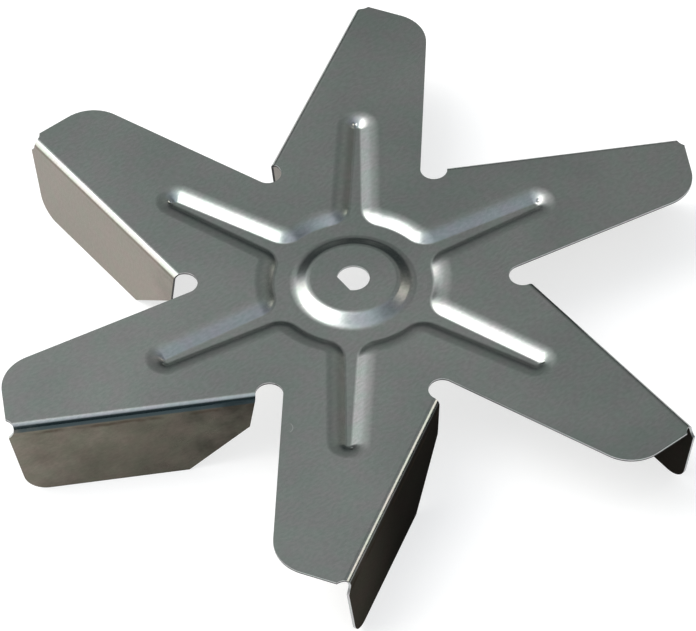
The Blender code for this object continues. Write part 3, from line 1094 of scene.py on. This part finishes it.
# where the shade is painted darkest, the steel is made matt and rough, so that it stays dark
matt = maths(tree, "MULTIPLY", stain_and_shade_masks.outputs["Film"], remapped(tree, shade_mask, *SHADE_GOES_MATT))
link(tree, remapped(tree, matt, 0.0, 1.0, 1.0, METALLIC_UNDER_SHADE), shader.inputs["Metallic"])
clean_roughness = shader.inputs["Roughness"].links[0].from_socket
rougher = maths(tree, "ADD", clean_roughness, maths(tree, "MULTIPLY", matt, ADDED_ROUGHNESS))
link(tree, rougher, shader.inputs["Roughness"])
shader.inputs["Specular IOR Level"].default_value = 0.0
print("nodes in the rolled steel:", len(tree.nodes))

# %% [markdown]
# ## The camera
#
# The photograph looks down at the impeller from about 49 degrees, with a long lens from under a metre
# away. The camera is placed by those angles, round the middle of the plate, with a degree and a half
# of tilt.

# %% Where the camera stands
IMAGE_WIDTH = 696
CAMERA_AZIMUTH = math.radians(-35.125)
CAMERA_ELEVATION = math.radians(49.006)
CAMERA_ROLL = math.radians(-1.590)
CAMERA_DISTANCE = 0.87696
CAMERA_AIM = Vector((-1.222 * MM, -7.091 * MM))
FOCAL_PIXELS = 4518.05
SENSOR_WIDTH = 36
NEAREST_SEEN = 0.01

back = Vector((
    math.sin(CAMERA_AZIMUTH) * math.cos(CAMERA_ELEVATION),
    -math.cos(CAMERA_AZIMUTH) * math.cos(CAMERA_ELEVATION),
    math.sin(CAMERA_ELEVATION),
))
level_right = Vector((0, 0, 1)).cross(back).normalized()
level_up = back.cross(level_right)
centre = Vector((0, 0, solid_low.z + HEIGHT))
place = centre + back * CAMERA_DISTANCE + level_right * CAMERA_AIM.x + level_up * CAMERA_AIM.y
right = level_right * math.cos(CAMERA_ROLL) + level_up * math.sin(CAMERA_ROLL)
up = back.cross(right)

lens = bpy.data.cameras.new("camera")
lens.sensor_width = SENSOR_WIDTH
lens.lens = SENSOR_WIDTH * FOCAL_PIXELS / IMAGE_WIDTH
lens.clip_start = NEAREST_SEEN
camera = placed("camera", lens)
camera.matrix_world = Matrix.Translation(place) @ Matrix((right, up, back)).transposed().to_4x4()
bpy.context.scene.camera = camera
print("lens:", round(lens.lens, 1), "mm on a", SENSOR_WIDTH, "mm sensor")

# %% [markdown]
# ## Floor and light
#
# Bare steel shows its surroundings more than its own colour, so the studio is built as what each part
# of the sheet looks at. The flat plate looks at a calm panel behind the object. The pressed walls and
# the bends look at a soft box and a window on the left, at a pale ceiling, and at a strip light on the
# right. The floor is a mid grey that glows only where the camera, a gloss or a clear piece sees it, so
# it is white and yet throws little light upwards. It lies a hair below the blades, so that no two
# faces share a place.

# %% The floor
FLOOR_SIZE = 6.0
FLOOR_DROP = 0.02 * MM
FLOOR_COLOUR = (0.42, 0.42, 0.42, 1)
FLOOR_GLOW = 0.68
WHITE = (1, 1, 1, 1)

floor_mesh = bpy.data.meshes.new("floor")
floor_bm = bmesh.new()
below = Matrix.Translation((0, 0, -FLOOR_DROP))
bmesh.ops.create_grid(floor_bm, x_segments=1, y_segments=1, size=FLOOR_SIZE / 2, matrix=below)
floor_bm.to_mesh(floor_mesh)
floor_bm.free()
floor = placed("floor", floor_mesh)
floor_paint = bpy.data.materials.new("floor_paint")
floor_paint.use_nodes = True
paint_tree = floor_paint.node_tree
paint = paint_tree.nodes["Principled BSDF"].inputs
for name, value in (
    ("Base Color", FLOOR_COLOUR), ("Roughness", 0.9),
    ("Specular IOR Level", 0.1), ("Emission Color", WHITE),
):
    paint[name].default_value = value
seen_by = paint_tree.nodes.new("ShaderNodeLightPath").outputs
seen = maths(paint_tree, "MAXIMUM", seen_by["Is Camera Ray"], seen_by["Is Glossy Ray"])
seen = maths(paint_tree, "MAXIMUM", seen, seen_by["Is Transmission Ray"])
glow = maths(paint_tree, "MULTIPLY", seen, FLOOR_GLOW)
link(paint_tree, glow, paint["Emission Strength"])
floor_mesh.materials.append(floor_paint)
print("floor:", FLOOR_SIZE, "m square,", round(FLOOR_DROP / MM, 2), "mm below the blades")

# %% [markdown]
# Directions are given as the photographer sees them: a bearing clockwise from straight ahead, and a
# height above the floor, both in degrees. The one lamp is a soft box on the left. It stands close by,
# so its light is soft.

# %% The soft box
def seen_at(bearing, elevation):
    heading = math.radians(bearing) - CAMERA_AZIMUTH
    lift = math.radians(elevation)
    level = math.cos(lift)
    return Vector((math.sin(heading) * level, math.cos(heading) * level, math.sin(lift)))


def soft_box(name, bearing, elevation, distance, width, height, watts, colour):
    lamp = bpy.data.lights.new(name, "AREA")
    lamp.shape = "RECTANGLE"
    lamp.size = width
    lamp.size_y = height
    lamp.energy = watts
    lamp.color = colour
    towards = seen_at(bearing, elevation)
    box = placed(name, lamp)
    box.matrix_world = towards.to_track_quat("Z", "Y").to_matrix().to_4x4()
    box.location = centre + towards * distance
    print(name, "stands", distance, "m away")
    print("its radiance:", round(watts / (math.pi * width * height), 2))


soft_box(
    "left soft box", bearing=-84, elevation=63, distance=0.8,
    width=0.55, height=0.45, watts=1.7, colour=(1.0, 0.98, 0.96),
)

# %% [markdown]
# The rest of the room is painted on the sky, because it is there for the steel to mirror. Each wall,
# window or ceiling is a round patch that fades to nothing at its edge, and the patches add up over a
# dim room. One group makes the patch from the angle between a direction and the patch's middle.

# %% A soft patch of light
def patch_group():
    """Gives 1 within the inner angle from the patch's middle, and 0 beyond the outer one."""
    group, given, result = new_group(
        "soft patch", ["Direction", "Middle"],
        {"Inner Cosine": 0.9, "Outer Cosine": 0.7}, ["Amount"],
    )
    facing = vector_maths(group, "DOT_PRODUCT", given.outputs["Direction"], given.outputs["Middle"])
    amount = remapped(group, facing, given.outputs["Outer Cosine"], given.outputs["Inner Cosine"])
    link(group, amount, result.inputs["Amount"])
    return group


soft_patch = patch_group()

# %% The room as patches
ROOM_COLOUR = (0.045, 0.055, 0.058, 1)
# bearing, elevation, inner and outer half-width in degrees, and the light's colour and strength
PATCHES = (
    ("back panel", -3, 47, 22, 40, (0.230, 0.240, 0.230)),
    ("right of the back panel", 46, 38, 8, 24, (0.15, 0.146, 0.134)),
    ("window wall", -46, 34, 6, 17, (0.44, 0.47, 0.51)),
    ("high left", -60, 56, 8, 43, (0.64, 0.65, 0.65)),
    ("left window", -86, 26, 30, 41, (2.65, 2.57, 2.40)),
    ("round the soft box", -80, 62, 12, 28, (0.90, 0.90, 0.90)),
    ("ceiling on the right", 90, 66, 14, 34, (0.23, 0.255, 0.30)),
    ("ceiling behind the camera", -165, 76, 6, 38, (0.78, 0.83, 0.92)),
    ("strip light on the right", 67, 30, 8, 16, (2.68, 2.53, 2.25)),
    ("wall behind the camera", 174, 42, 8, 32, (0.15, 0.17, 0.175)),
    ("dark floor edge behind the camera", 168, 12, 8, 30, (0.04, 0.08, 0.09)),
    ("low wall on the left", -138, 16, 14, 42, (0.30, 0.305, 0.30)),
    ("low wall on the right", 122, 16, 12, 36, (0.30, 0.305, 0.30)),
)

world = bpy.data.worlds.new("studio")
world.use_nodes = True
bpy.context.scene.world = world
sky = world.node_tree
direction = sky.nodes.new("ShaderNodeTexCoord").outputs["Generated"]
room = ROOM_COLOUR
for name, bearing, elevation, inner, outer, colour in PATCHES:
    patch = place_group(sky, soft_patch)
    patch.label = name
    link(sky, direction, patch.inputs["Direction"])
    patch.inputs["Middle"].default_value = seen_at(bearing, elevation)
    patch.inputs["Inner Cosine"].default_value = math.cos(math.radians(inner))
    patch.inputs["Outer Cosine"].default_value = math.cos(math.radians(outer))
    room = mixed(sky, patch.outputs["Amount"], room, (*colour, 1), "ADD")
link(sky, room, sky.nodes["Background"].inputs["Color"])
bpy.context.scene.view_settings.view_transform = "Standard"
print("patches of light:", len(PATCHES))
